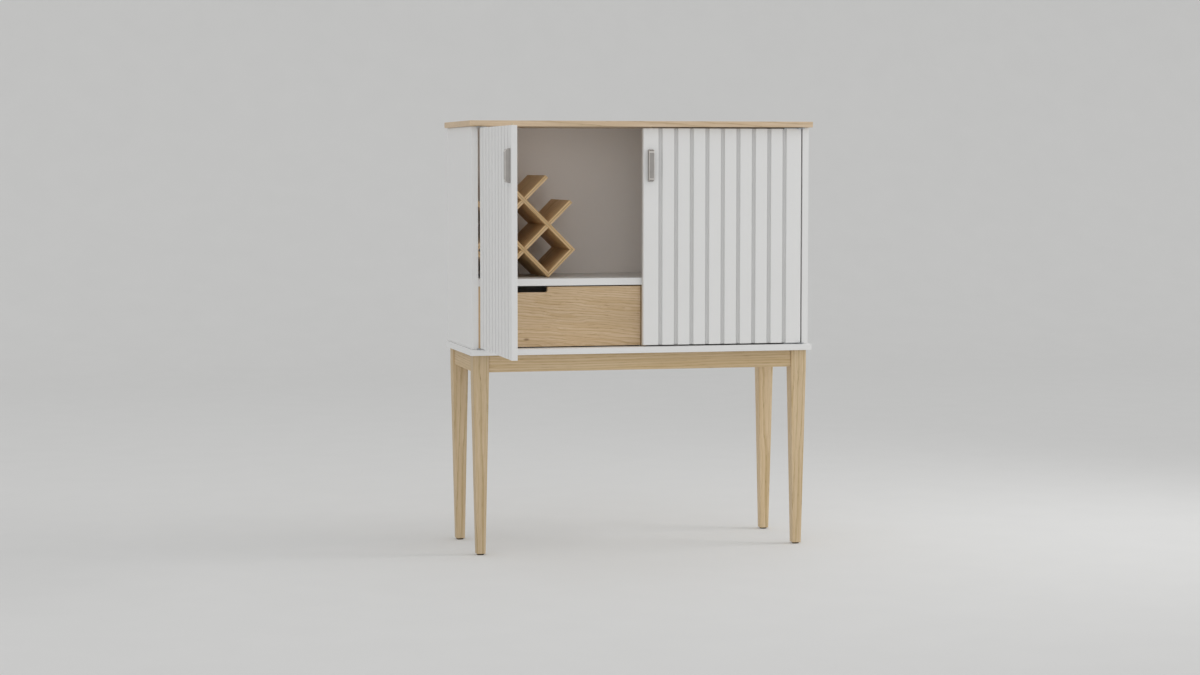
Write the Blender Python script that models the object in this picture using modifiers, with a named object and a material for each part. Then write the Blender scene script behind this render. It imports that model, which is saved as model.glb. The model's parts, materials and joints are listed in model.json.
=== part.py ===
# Bar cabinet: white carcass with two grooved doors on an oak base, with an oak top,
# a drawer on ball runners and a wine rack. Metres, +Z up, the doors face -Y.
# It rests as it is seen in use: the left door stands open and the right one is closed.

import math

import bmesh
import bpy
from mathutils import Matrix, Vector

# Outer size
cabinet_width = 1.000
cabinet_depth = 0.390
cabinet_height = 1.220

# Boards of the carcass
top_thickness = 0.016
side_thickness = 0.018
bottom_thickness = 0.017
shelf_thickness = 0.020
back_thickness = 0.004
side_inset = 0.008  # how far the top stands out past each side
front_overhang = 0.015  # how far the top and bottom stand out past the doors
bottom_inset = 0.001  # the bottom board is this much shorter than the top at each end
back_rebate = 0.008
back_inset = 0.001
shelf_setback = 0.004  # behind the doors' inner face
drawer_opening = 0.175  # clear height between bottom board and shelf
seat = 0.0003  # gap between pieces that touch
edge_round = 0.0008
cut_past = 0.005  # how far a cutter runs out past what it cuts
crease_angle = math.radians(40)
round_sides = 24

# Base
base_height = 0.565  # floor to the underside of the bottom board
leg_top_width = 0.045
leg_foot_width = 0.026
leg_side_inset = 0.0105
leg_front_inset = 0.017
leg_round = 0.002
rail_height = 0.048
rail_thickness = 0.020
rail_setback = 0.004
block_thickness = 0.030
block_reach = 0.050
glide_height = 0.003
glide_radius = 0.010
glide_round = 0.0006

# Doors
door_thickness = 0.016
door_side_gap = 0.0035
door_end_gap = 0.004
door_meeting_gap = 0.003
left_open_degrees = 91.0
groove_count = 9
groove_width = 0.010
groove_depth = 0.0065
groove_lip = 0.0012
slat_width = 0.036
hinge_front = 0.004  # the pin's distance in front of the doors' outer face
hinge_side = 0.001  # and outside the side panel's inner face
hinge_eye_radius = 0.0037
hinge_pin_radius = 0.0018
hinge_leaf_thickness = 0.002
hinge_leaf_length = 0.050
hinge_leaf_width = 0.010
hinge_leaf_inset = 0.001  # from the door's own edges
hinge_arm = 0.016
hinge_collar_radius = 0.0032

# Door pulls
pull_length = 0.092
pull_width = 0.016
pull_projection = 0.0145
pull_end_slope = 0.0085
pull_wall = 0.0022
pull_end_wall = 0.003
pull_from_edge = 0.021
pull_drop = 0.105  # from the top of the door to the middle of the pull
pull_round = 0.0012

# Sprung catches in the doors' top edges
catch_from_edge = 0.025
catch_barrel_radius = 0.005
catch_barrel_length = 0.024
catch_bullet_radius = 0.0028
catch_bullet_length = 0.016
catch_bullet_reach = 0.0055  # above the door's top edge
catch_bore_length = 0.015
strike_length = 0.030
strike_width = 0.012
strike_thickness = 0.0012
strike_hole_radius = 0.0036
strike_bore_length = 0.004

# Drawer
drawer_setback = 0.008  # behind the doors' inner face
drawer_gap = 0.003
drawer_pass = 0.001  # clear of the closed right door when it slides out
drawer_front_thickness = 0.016
drawer_side_thickness = 0.012
drawer_back_thickness = 0.012
drawer_bottom_thickness = 0.004
drawer_box_height = 0.120
drawer_box_depth = 0.300
drawer_box_rise = 0.012  # box above the bottom board
drawer_bottom_rise = 0.010
drawer_groove_depth = 0.006
notch_length = 0.120
notch_depth = 0.0155
notch_from_end = 0.0565
notch_corner = 0.006
packer_thickness = 0.019
divider_thickness = 0.018
divider_gap = 0.002

# Ball runners: three channels one inside the other
runner_length = 0.300
runner_width = 0.0127
runner_height = 0.035
runner_sheet = 0.0012
runner_play = 0.0005

# Wine rack
rack_board = 0.0115
rack_depth = 0.240
rack_setback = 0.070  # behind the shelf's front edge
rack_headroom = 0.136  # clear between its free ends and the top
rack_arm_short = 0.006  # a free end is this much shorter than a side of a square

# Places that follow from the sizes
half_width = cabinet_width / 2
front_y = -cabinet_depth / 2
back_y = cabinet_depth / 2
top_under = cabinet_height - top_thickness
floor_top = base_height + bottom_thickness
side_outer = half_width - side_inset
side_inner = side_outer - side_thickness
door_front = front_y + front_overhang
door_back = door_front + door_thickness
back_front = back_y - back_inset - back_thickness
shelf_under = floor_top + drawer_opening
shelf_top = shelf_under + shelf_thickness
shelf_front = door_back + shelf_setback
door_low = floor_top + door_end_gap
door_high = top_under - door_end_gap
door_outer_edge = side_inner - door_side_gap
door_width = door_outer_edge - door_meeting_gap / 2
hinge_x = side_inner + hinge_side
hinge_y = door_front - hinge_front
leaf_start = hinge_x - door_outer_edge  # along the leaf from the pin to its edge
leaf_end = leaf_start + door_width
leg_outer_x = half_width - bottom_inset - leg_side_inset
leg_outer_y = cabinet_depth / 2 - leg_front_inset
rail_low = base_height - seat - rail_height
packer_inner = side_inner - seat - packer_thickness
drawer_front_y = door_back + drawer_setback
drawer_left = -packer_inner + drawer_gap
drawer_right = door_meeting_gap / 2 - drawer_pass
divider_left = drawer_right + divider_gap
box_left = -packer_inner + seat + runner_width + seat
box_right = divider_left - seat - runner_width - seat
box_low = floor_top + drawer_box_rise
box_front = drawer_front_y + drawer_front_thickness + seat
runner_middle = box_low + drawer_box_height / 2

# The rack is three squares high and has free ends above them, all at 45 degrees.
rack_height = top_under - rack_headroom - shelf_top - seat
rack_pitch = (rack_height * math.sqrt(2) - 3 * rack_board / 2 + rack_arm_short) / 4
rack_arm = rack_pitch - rack_arm_short
rack_run = rack_pitch / math.sqrt(2)  # across and down from one crossing to the next

# The origin is on the floor, under the middle of the object as it rests.
open_turn = math.radians(left_open_degrees)
door_tip = hinge_y - leaf_end * math.sin(open_turn) + (hinge_front + door_thickness) * math.cos(open_turn)
rest_middle = (door_tip + back_y) / 2

# Finishes: colour, roughness, metallic
white = ((0.72, 0.72, 0.70, 1.0), 0.50, 0.0)
oak = ((0.52, 0.40, 0.26, 1.0), 0.60, 0.0)
board_back = ((0.60, 0.58, 0.54, 1.0), 0.60, 0.0)
nickel = ((0.55, 0.54, 0.52, 1.0), 0.35, 1.0)
steel = ((0.60, 0.60, 0.62, 1.0), 0.40, 1.0)
brass = ((0.62, 0.48, 0.25, 1.0), 0.30, 1.0)
plastic = ((0.10, 0.10, 0.10, 1.0), 0.60, 0.0)


def clear_scene():
    for thing in list(bpy.data.objects):
        bpy.data.objects.remove(thing, do_unlink=True)


def new_collection(name):
    group = bpy.data.collections.new(name)
    bpy.context.scene.collection.children.link(group)
    return group


def give_material(thing, finish):
    colour, roughness, metallic = finish
    material = bpy.data.materials.new(thing.name)
    material.use_nodes = True
    shader = material.node_tree.nodes["Principled BSDF"]
    shader.inputs["Base Color"].default_value = colour
    shader.inputs["Roughness"].default_value = roughness
    shader.inputs["Metallic"].default_value = metallic
    thing.data.materials.clear()
    thing.data.materials.append(material)


def put(thing, parent, group):
    """Moves an object to a collection and hangs it on a parent, in the parent's own frame."""
    for old in list(thing.users_collection):
        old.objects.unlink(thing)
    group.objects.link(thing)
    thing.parent = parent
    return thing


def add_empty(name, place, parent, turn=0.0):
    empty = bpy.data.objects.new(name, None)
    empty.empty_display_size = 0.05
    put(empty, parent, parts)
    empty.location = place
    empty.rotation_euler = (0.0, 0.0, turn)
    return empty


def apply_all(thing):
    """Bakes an object's place and size into its mesh."""
    thing.data.transform(thing.matrix_basis)
    thing.matrix_basis = Matrix.Identity(4)


def bevel(thing, width, segments=1):
    modifier = thing.modifiers.new("rounded edges", "BEVEL")
    modifier.width = width
    modifier.segments = segments
    modifier.limit_method = "ANGLE"
    modifier.angle_limit = crease_angle


def soften(mesh, width):
    """Rounds a mesh's own edges, where later cuts have to stay sharp."""
    shape = bmesh.new()
    shape.from_mesh(mesh)
    bmesh.ops.bevel(shape, geom=shape.edges[:], offset=width, segments=1, profile=0.5, affect="EDGES")
    shape.to_mesh(mesh)
    shape.free()


def add_box(name, low, high, parent, group=None):
    """A box between two corners, in its parent's frame, with its origin at its middle."""
    low, high = Vector(low), Vector(high)
    bpy.ops.mesh.primitive_cube_add(size=1.0)
    box = bpy.context.object
    box.name = name
    box.scale = high - low
    apply_all(box)
    put(box, parent, group or parts)
    box.location = (low + high) / 2
    return box


def add_board(name, low, high, parent, finish, rounding=edge_round):
    board = add_box(name, low, high, parent)
    give_material(board, finish)
    if rounding:
        bevel(board, rounding)
    return board


def add_cylinder(name, radius, low, high, parent, group=None):
    """An upright cylinder between two heights; low is its whole lower point."""
    bpy.ops.mesh.primitive_cylinder_add(vertices=round_sides, radius=radius, depth=high - low[2])
    rod = bpy.context.object
    rod.name = name
    put(rod, parent, group or parts)
    rod.location = (low[0], low[1], (low[2] + high) / 2)
    rod.data.shade_smooth()
    rod.data.set_sharp_from_angle(angle=crease_angle)
    return rod


def add_outline(name, points, depth, parent, turn=None, group=None):
    """A flat outline pushed out by half its depth each way, then turned if need be."""
    curve = bpy.data.curves.new(name, "CURVE")
    curve.dimensions = "2D"
    curve.fill_mode = "BOTH"
    curve.extrude = depth / 2
    spline = curve.splines.new("POLY")
    spline.points.add(len(points) - 1)
    for point, (x, y) in zip(spline.points, points, strict=True):
        point.co = (x, y, 0.0, 1.0)
    spline.use_cyclic_u = True
    flat = bpy.data.objects.new(name + "_outline", curve)
    parts.objects.link(flat)
    bpy.context.view_layer.update()
    graph = bpy.context.evaluated_depsgraph_get()
    mesh = bpy.data.meshes.new_from_object(flat.evaluated_get(graph))
    bpy.data.objects.remove(flat, do_unlink=True)
    bpy.data.curves.remove(curve)
    shape = bmesh.new()
    shape.from_mesh(mesh)
    bmesh.ops.remove_doubles(shape, verts=shape.verts, dist=1e-6)
    bmesh.ops.recalc_face_normals(shape, faces=shape.faces)
    shape.to_mesh(mesh)
    shape.free()
    if turn:
        mesh.transform(turn)
    mesh.name = name
    thing = bpy.data.objects.new(name, mesh)
    put(thing, parent, group or parts)
    return thing


def arc(centre, radius, start, end, steps):
    """Points along an arc, angles in degrees, both ends included."""
    found = []
    for step in range(steps + 1):
        angle = math.radians(start + (end - start) * step / steps)
        found.append((centre[0] + radius * math.cos(angle), centre[1] + radius * math.sin(angle)))
    return found


def combine(thing, other, operation):
    modifier = thing.modifiers.new(operation.lower(), "BOOLEAN")
    modifier.operation = operation
    modifier.object = other
    modifier.solver = "EXACT"
    other.hide_render = True
    other.display_type = "WIRE"


def cut(thing, cutter):
    combine(thing, cutter, "DIFFERENCE")


def join(thing, other):
    combine(thing, other, "UNION")


def cut_box(thing, label, low, high):
    cut(thing, add_box(thing.name + "_" + label, low, high, thing.parent, cutters))


def add_carcass():
    top = add_board(
        "top_panel",
        (-half_width, front_y, top_under),
        (half_width, back_y, cabinet_height),
        body,
        oak,
    )
    bottom_half = half_width - bottom_inset
    bottom = add_board(
        "bottom_panel",
        (-bottom_half, front_y, base_height),
        (bottom_half, back_y, floor_top),
        body,
        white,
    )
    for name, side in (("left_side_panel", -1), ("right_side_panel", 1)):
        across = sorted((side * side_inner, side * side_outer))
        panel = add_board(
            name,
            (across[0], door_front, floor_top + seat),
            (across[1], back_y, top_under - seat),
            body,
            white,
        )
        left, right = sorted((side * (side_inner - back_rebate), side * (side_inner + back_rebate)))
        cut_box(panel, "rebate", (left, back_front - seat, 0), (right, back_y + cut_past, cabinet_height))
    back_half = side_inner + back_rebate - seat
    add_board(
        "back_panel",
        (-back_half, back_front, floor_top + seat),
        (back_half, back_front + back_thickness, top_under - seat),
        body,
        board_back,
        rounding=0,
    )
    add_board(
        "middle_shelf",
        (-side_inner + seat, shelf_front, shelf_under),
        (side_inner - seat, back_front - seat, shelf_top),
        body,
        white,
    )
    add_board(
        "drawer_packer",
        (-side_inner + seat, drawer_front_y, floor_top + seat),
        (-packer_inner, back_front - seat, shelf_under - seat),
        body,
        oak,
    )
    add_board(
        "drawer_divider",
        (divider_left, drawer_front_y, floor_top + seat),
        (divider_left + divider_thickness, back_front - seat, shelf_under - seat),
        body,
        oak,
    )
    return top, bottom


def add_leg(name, side, end):
    """A square leg, straight beside the rails and tapered evenly below them."""
    outer = Vector((side * leg_outer_x, end * leg_outer_y))
    middle = outer - Vector((side, end)) * leg_top_width / 2
    low, high = glide_height + seat, base_height - seat
    leg = add_box(
        name,
        (middle.x - leg_top_width / 2, middle.y - leg_top_width / 2, low),
        (middle.x + leg_top_width / 2, middle.y + leg_top_width / 2, high),
        body,
    )
    shape = bmesh.new()
    shape.from_mesh(leg.data)
    everything = shape.verts[:] + shape.edges[:] + shape.faces[:]
    shoulder = rail_low - leg.location.z
    bmesh.ops.bisect_plane(shape, geom=everything, plane_co=(0, 0, shoulder), plane_no=(0, 0, 1))
    foot = [vertex for vertex in shape.verts if vertex.co.z < 0]
    ratio = leg_foot_width / leg_top_width
    bmesh.ops.scale(shape, vec=(ratio, ratio, 1.0), verts=foot)
    shape.to_mesh(leg.data)
    shape.free()
    give_material(leg, oak)
    bevel(leg, leg_round, 2)
    return middle


def add_glide(name, middle):
    glide = add_cylinder(name, glide_radius, (middle.x, middle.y, 0.0), glide_height, body)
    give_material(glide, plastic)
    bevel(glide, glide_round)


def add_block(name, side, end):
    """A corner block: a board across the corner behind the leg, its ends flat on the rails."""
    inner_x = leg_outer_x - rail_setback - rail_thickness - seat
    inner_y = leg_outer_y - rail_setback - rail_thickness - seat
    near = 2 * (leg_top_width - rail_setback - rail_thickness)  # the leg's inner corner is halfway
    far = near + block_reach
    corners = [
        (inner_x, inner_y - near),
        (inner_x, inner_y - far),
        (inner_x - far, inner_y),
        (inner_x - near, inner_y),
    ]
    outline = [(side * x, end * y) for x, y in corners]
    block = add_outline(name, outline, block_thickness, body)
    block.location.z = base_height - seat - block_thickness / 2
    give_material(block, oak)


def add_base():
    ends = (("front", -1), ("rear", 1))
    for end_name, end in ends:
        for side_name, side in (("left", -1), ("right", 1)):
            corner = f"{end_name}_{side_name}"
            middle = add_leg(corner + "_leg", side, end)
            add_glide(corner + "_glide", middle)
            add_block(corner + "_corner_block", side, end)
        reach = leg_outer_x - leg_top_width - seat
        outer = leg_outer_y - rail_setback
        front, back = sorted((end * outer, end * (outer - rail_thickness)))
        add_board(
            end_name + "_rail",
            (-reach, front, rail_low),
            (reach, back, rail_low + rail_height),
            body,
            oak,
        )
    for side_name, side in (("left", -1), ("right", 1)):
        reach = leg_outer_y - leg_top_width - seat
        outer = leg_outer_x - rail_setback
        left, right = sorted((side * outer, side * (outer - rail_thickness)))
        add_board(
            side_name + "_rail",
            (left, -reach, rail_low),
            (right, reach, rail_low + rail_height),
            body,
            oak,
        )


def groove_points(middle, face):
    """One U groove across the outer face, from its left lip to its right lip."""
    half, lip = groove_width / 2, groove_lip
    points = arc((middle - half - lip, face + lip), lip, -90, 0, 2)
    points += arc((middle, face + groove_depth - half), half, 180, 0, 8)
    points += arc((middle + half + lip, face + lip), lip, 180, 270, 2)
    return points


def leaf_outline(side):
    """The door from above, from the pin's side to the free edge: grooves in the outer face."""
    face = hinge_front
    end_slat = (door_width - groove_count * groove_width - (groove_count - 1) * slat_width) / 2
    points = arc((leaf_start + edge_round, face + edge_round), edge_round, 180, 270, 2)
    for index in range(groove_count):
        middle = leaf_start + end_slat + groove_width / 2 + index * (groove_width + slat_width)
        points += groove_points(middle, face)
    points += arc((leaf_end - edge_round, face + edge_round), edge_round, 270, 360, 2)
    points += arc((leaf_end - edge_round, face + door_thickness - edge_round), edge_round, 0, 90, 2)
    points += arc((leaf_start + edge_round, face + door_thickness - edge_round), edge_round, 90, 180, 2)
    return [(-side * x, y) for x, y in points]


def add_pull(name, side, axis):
    """A lip pull: a block with sloped ends, hollowed from the hinge side for the fingers."""
    middle_x = -side * (leaf_end - pull_from_edge)
    middle_z = door_high - door_low - pull_drop
    face = hinge_front - seat
    pull = add_box(
        name,
        (middle_x - pull_width / 2, face - pull_projection, middle_z - pull_length / 2),
        (middle_x + pull_width / 2, face, middle_z + pull_length / 2),
        axis,
    )
    for vertex in pull.data.vertices:
        if vertex.co.y < 0:
            vertex.co.z -= math.copysign(pull_end_slope, vertex.co.z)
    bevel(pull, pull_round, 2)
    hollow_front = face - pull_projection + pull_wall
    hollow_back = face - pull_wall
    hollow = add_box(
        name + "_hollow",
        (middle_x - pull_width / 2, hollow_front, middle_z - pull_length / 2),
        (middle_x + pull_width / 2, hollow_back, middle_z + pull_length / 2),
        axis,
        cutters,
    )
    hollow.location.x += side * pull_wall
    slope = pull_end_slope / pull_projection
    for vertex in hollow.data.vertices:
        from_face = -(vertex.co.y + hollow.location.y - face)
        inside = pull_length / 2 - slope * from_face - pull_end_wall
        vertex.co.z = math.copysign(inside, vertex.co.z)
    cut(pull, hollow)
    give_material(pull, nickel)


def add_catch(prefix, side, axis):
    """A sprung bullet in a barrel, and the cutter for their pocket in the door's top edge."""
    x = -side * (leaf_end - catch_from_edge)
    y = hinge_front + door_thickness / 2
    top = door_high - door_low
    barrel_low = (x, y, top - catch_barrel_length)
    barrel = add_cylinder(prefix + "_catch_barrel", catch_barrel_radius, barrel_low, top, axis)
    bore_radius = catch_bullet_radius + seat
    bore_low = (x, y, top - catch_bore_length)
    bore = add_cylinder(prefix + "_catch_bore", bore_radius, bore_low, top + cut_past, axis, cutters)
    cut(barrel, bore)
    give_material(barrel, brass)

    profile = bpy.data.meshes.new(prefix + "_catch_bullet")
    dome = arc((0.0, -catch_bullet_radius), catch_bullet_radius, 90, 0, 4)
    points = [(px, 0.0, pz) for px, pz in dome]
    points += [(catch_bullet_radius, 0.0, -catch_bullet_length), (0.0, 0.0, -catch_bullet_length)]
    profile.from_pydata(points, [(i, i + 1) for i in range(len(points) - 1)], [])
    bullet = bpy.data.objects.new(prefix + "_catch_bullet", profile)
    put(bullet, axis, parts)
    bullet.location = (x, y, top + catch_bullet_reach)
    turned = bullet.modifiers.new("turned", "SCREW")
    turned.steps = turned.render_steps = round_sides
    turned.use_merge_vertices = True
    turned.merge_threshold = 0.00001
    give_material(bullet, brass)

    pocket_low = (x, y, top - catch_barrel_length - seat)
    pocket_radius = catch_barrel_radius + seat
    return add_cylinder(prefix + "_catch_pocket", pocket_radius, pocket_low, top + cut_past, axis, cutters)


def add_door(prefix, side):
    turn = -open_turn if side < 0 else 0.0
    axis = add_empty(prefix + "_door_axis", (side * hinge_x, hinge_y, door_low), body, turn)
    height = door_high - door_low
    leaf = add_outline(prefix + "_door_panel", leaf_outline(side), height, axis)
    leaf.data.transform(Matrix.Translation((0, 0, height / 2)))
    give_material(leaf, white)
    cut(leaf, add_catch(prefix, side, axis))
    add_pull(prefix + "_door_pull", side, axis)
    add_door_plate(prefix + "_top_door_plate", side, axis, height + seat)
    add_door_plate(prefix + "_bottom_door_plate", side, axis, -seat - hinge_leaf_thickness)


def add_door_plate(name, side, axis, low):
    """The hinge plate on the door's edge: an eye round the pin, an arm and the screwed leaf."""
    leaf_front = hinge_front + hinge_leaf_inset
    leaf_back = leaf_front + hinge_leaf_width
    leaf_near = leaf_start + hinge_leaf_inset
    leaf_far = leaf_near + hinge_leaf_length
    points = [
        (hinge_arm, -hinge_eye_radius),
        (hinge_arm, leaf_front),
        (leaf_far, leaf_front),
        (leaf_far, leaf_back),
        (leaf_near, leaf_back),
        (leaf_near, hinge_eye_radius),
    ]
    points += arc((0.0, 0.0), hinge_eye_radius, 90, 270, 8)
    plate = add_outline(name, [(-side * x, y) for x, y in points], hinge_leaf_thickness, axis)
    plate.location.z = low + hinge_leaf_thickness / 2
    eye_radius, eye_low, eye_top = hinge_pin_radius + seat, (0, 0, low - cut_past), low + cut_past
    cut(plate, add_cylinder(name + "_eye", eye_radius, eye_low, eye_top, axis, cutters))
    give_material(plate, steel)


def add_pivot_plate(name, side, board, up):
    """The hinge plate let into the top or bottom board, with its collar and pin."""
    face = top_under if up < 0 else floor_top
    x = side * hinge_x
    half = hinge_eye_radius
    back = hinge_y + hinge_leaf_length
    points = arc((x, hinge_y), half, 180, 360, 8) + arc((x, back - half), half, 0, 180, 8)
    plate = add_outline(name, points, hinge_leaf_thickness, body)
    plate.location.z = face - up * hinge_leaf_thickness / 2
    under_collar = door_end_gap - hinge_leaf_thickness - 2 * seat
    for label, radius, reach in (
        ("_collar", hinge_collar_radius, under_collar),
        ("_pin", hinge_pin_radius, door_end_gap - seat),
    ):
        low, high = sorted((face - up * hinge_leaf_thickness / 2, face + up * reach))
        join(plate, add_cylinder(name + label, radius, (x, hinge_y, low), high, body, cutters))
    give_material(plate, steel)
    outer = arc((x, hinge_y), half + seat, 180, 360, 8)
    outer += arc((x, back - half), half + seat, 0, 180, 8)
    depth = hinge_leaf_thickness + seat
    mortise = add_outline(name + "_mortise", outer, 2 * depth, body, group=cutters)
    mortise.location.z = face
    cut(board, mortise)


def add_strike(prefix, side, top):
    """The strike in the underside of the top, with a hole that the bullet drops into."""
    x = side * (hinge_x - leaf_end + catch_from_edge)
    y = door_front + door_thickness / 2
    strike = add_box(
        prefix + "_strike",
        (x - strike_length / 2, y - strike_width / 2, top_under),
        (x + strike_length / 2, y + strike_width / 2, top_under + strike_thickness),
        body,
    )
    hole_low = (x, y, top_under - cut_past)
    hole = add_cylinder(strike.name + "_hole", strike_hole_radius, hole_low, cabinet_height, body, cutters)
    cut(strike, hole)
    give_material(strike, brass)
    cut_box(
        top,
        prefix + "_strike_mortise",
        (x - strike_length / 2 - seat, y - strike_width / 2 - seat, top_under - cut_past),
        (x + strike_length / 2 + seat, y + strike_width / 2 + seat, top_under + strike_thickness + seat),
    )
    bore_top = top_under + strike_bore_length
    cut(top, add_cylinder(prefix + "_strike_bore", strike_hole_radius, hole_low, bore_top, body, cutters))


def front_outline(low, high):
    """The drawer front seen from the front, with the finger notch in its top edge."""
    left, right = drawer_left, drawer_right
    notch_left = left + notch_from_end
    notch_right = notch_left + notch_length
    floor = high - notch_depth
    corner = notch_corner
    points = [(left, low), (right, low), (right, high), (notch_right, high)]
    points += arc((notch_right - corner, floor + corner), corner, 0, -90, 4)
    points += arc((notch_left + corner, floor + corner), corner, 270, 180, 4)
    points += [(notch_left, high), (left, high)]
    return points


def add_drawer():
    """The drawer on its slide: an empty in the cabinet's own frame that travels along -Y."""
    slide = add_empty("drawer_slide", (0.0, 0.0, 0.0), body)
    low, high = floor_top + drawer_gap, shelf_under - drawer_gap
    upright = Matrix.Rotation(math.radians(90), 4, "X")
    front = add_outline("drawer_front", front_outline(low, high), drawer_front_thickness, slide, upright)
    front.location.y = drawer_front_y + drawer_front_thickness / 2
    bevel(front, edge_round)
    give_material(front, oak)

    bottom_low = box_low + drawer_bottom_rise
    bottom_high = bottom_low + drawer_bottom_thickness
    groove_low, groove_high = bottom_low - seat, bottom_high + seat
    inner_left = box_left + drawer_side_thickness
    inner_right = box_right - drawer_side_thickness
    groove_left = inner_left - drawer_groove_depth
    groove_right = inner_right + drawer_groove_depth
    groove_front = box_front - seat - drawer_groove_depth
    box_back = box_front + drawer_box_depth
    box_high = box_low + drawer_box_height
    cut_box(front, "groove", (groove_left, groove_front, groove_low), (groove_right, box_front, groove_high))
    for name, left, right in (
        ("drawer_left_side", box_left, inner_left),
        ("drawer_right_side", inner_right, box_right),
    ):
        wall = add_board(name, (left, box_front, box_low), (right, box_back, box_high), slide, oak)
        groove_start = (groove_left, box_front - cut_past, groove_low)
        cut_box(wall, "groove", groove_start, (groove_right, box_back + cut_past, groove_high))
    add_board(
        "drawer_back",
        (inner_left + seat, box_back - drawer_back_thickness, groove_high),
        (inner_right - seat, box_back, box_high),
        slide,
        oak,
    )
    add_board(
        "drawer_bottom",
        (groove_left + seat, groove_front + seat, bottom_low),
        (groove_right - seat, box_back, bottom_high),
        slide,
        oak,
        rounding=0,
    )
    add_runners(slide)


def channel(wall, open_edge, half):
    """A C section in sheet: wall is where its web stands, open_edge where its lips end."""
    inward = math.copysign(runner_sheet, open_edge - wall)
    inner = half - runner_sheet
    return [
        (wall, -half),
        (open_edge, -half),
        (open_edge, -inner),
        (wall + inward, -inner),
        (wall + inward, inner),
        (open_edge, inner),
        (open_edge, half),
        (wall, half),
    ]


def flanged(low, high, web, half):
    """An H section in sheet: two flanges from low to high, and a web between them."""
    inner = half - runner_sheet
    return [
        (low, -half),
        (high, -half),
        (high, -inner),
        (web + runner_sheet, -inner),
        (web + runner_sheet, inner),
        (high, inner),
        (high, half),
        (low, half),
        (low, inner),
        (web, inner),
        (web, -inner),
        (low, -inner),
    ]


def add_runners(slide):
    """Both pairs of runners: fixed, middle and drawer members, nested with play between."""
    upright = Matrix.Rotation(math.radians(90), 4, "X")
    middle_slide = add_empty("middle_runner_slide", (0.0, 0.0, 0.0), body)
    half = runner_height / 2
    step = runner_sheet + runner_play
    web = (runner_width - runner_sheet) / 2
    members = (
        ("fixed", body, channel(0.0, runner_width - 2 * step, half)),
        ("middle", middle_slide, flanged(step, runner_width - step, web, half - step)),
        ("drawer", slide, channel(runner_width, web + step, half - 2 * step)),
    )
    for side, wall, inward in (("left", -packer_inner + seat, 1), ("right", divider_left - seat, -1)):
        for member, holder, section in members:
            points = [(wall + inward * x, runner_middle + z) for x, z in section]
            rail = add_outline(f"{side}_{member}_runner", points, runner_length, holder, upright)
            rail.location.y = box_front + runner_length / 2
            give_material(rail, steel)


def mitre(thing, point, normal):
    """Cuts off what lies past a plane, and closes the cut."""
    shape = bmesh.new()
    shape.from_mesh(thing.data)
    everything = shape.verts[:] + shape.edges[:] + shape.faces[:]
    done = bmesh.ops.bisect_plane(shape, geom=everything, plane_co=point, plane_no=normal, clear_outer=True)
    rim = [item for item in done["geom_cut"] if isinstance(item, bmesh.types.BMEdge)]
    bmesh.ops.contextual_create(shape, geom=rim)
    bmesh.ops.recalc_face_normals(shape, faces=shape.faces)
    shape.to_mesh(thing.data)
    shape.free()


def add_rack_board(name, first, falls, span, slots, mitres):
    """One board, from its first crossing down to the right (falls 1) or to the left (falls -1).

    span is how far it runs before and past that crossing. slots are its half joints, as places
    along it: a board that falls to the left is slotted from the front, the other from the back.
    Each mitre is a crossing along the board and the direction that is cut away there.
    """
    half = rack_board / 2
    lay = Matrix.Translation((first[0], shelf_front + rack_setback, first[1]))
    lay = lay @ Matrix.Rotation(math.radians(90 - falls * 45), 4, "Y")
    board = add_box(name, (-span[0], 0.0, -half), (span[1], rack_depth, half), body)
    apply_all(board)
    soften(board.data, edge_round)
    board.data.transform(lay)
    for crossing, away in mitres:
        point = Vector((first[0] + falls * crossing * rack_run, 0.0, first[1] - crossing * rack_run))
        mitre(board, point - Vector(away) * seat / 2, away)
    give_material(board, oak)
    reach = (rack_depth + seat) / 2
    slot_front, slot_back = (-cut_past, reach) if falls < 0 else (rack_depth - reach, rack_depth + cut_past)
    for index, place in enumerate(slots):
        low = (place - half - seat, slot_front, -rack_board)
        high = (place + half + seat, slot_back, rack_board)
        slot = add_box(f"{name}_slot_{index}", low, high, body, cutters)
        apply_all(slot)
        slot.data.transform(lay)
        cut(board, slot)


def add_rack():
    """Six boards at 45 degrees that cross at the top, in the row below it and in the middle."""
    tip = rack_board / math.sqrt(2)
    middle = -side_inner + seat + tip + 2 * rack_run
    foot = shelf_top + seat + tip
    top = (middle, foot + 3 * rack_run)
    right = (middle + rack_run, foot + 2 * rack_run)
    left = (middle - rack_run, foot + 2 * rack_run)
    far_right = (middle + 2 * rack_run, foot + rack_run)
    far_left = (middle - 2 * rack_run, foot + rack_run)
    long_span = (rack_arm, 2 * rack_pitch + rack_board)
    short_span = (rack_board, rack_pitch + rack_board)
    crossings = (0.0, rack_pitch)
    up, down, rightward, leftward = (0, 0, 1), (0, 0, -1), (1, 0, 0), (-1, 0, 0)
    add_rack_board("rack_board_top_to_right", top, 1, long_span, crossings, [(2, down)])
    add_rack_board("rack_board_left_to_foot", left, 1, long_span, crossings, [(2, rightward)])
    add_rack_board("rack_board_left_foot", far_left, 1, short_span, (), [(0, up), (1, rightward)])
    add_rack_board("rack_board_top_to_left", top, -1, long_span, crossings, [(2, down)])
    add_rack_board("rack_board_right_to_foot", right, -1, long_span, crossings, [(2, leftward)])
    add_rack_board("rack_board_right_foot", far_right, -1, short_span, (), [(0, up), (1, leftward)])


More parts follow.
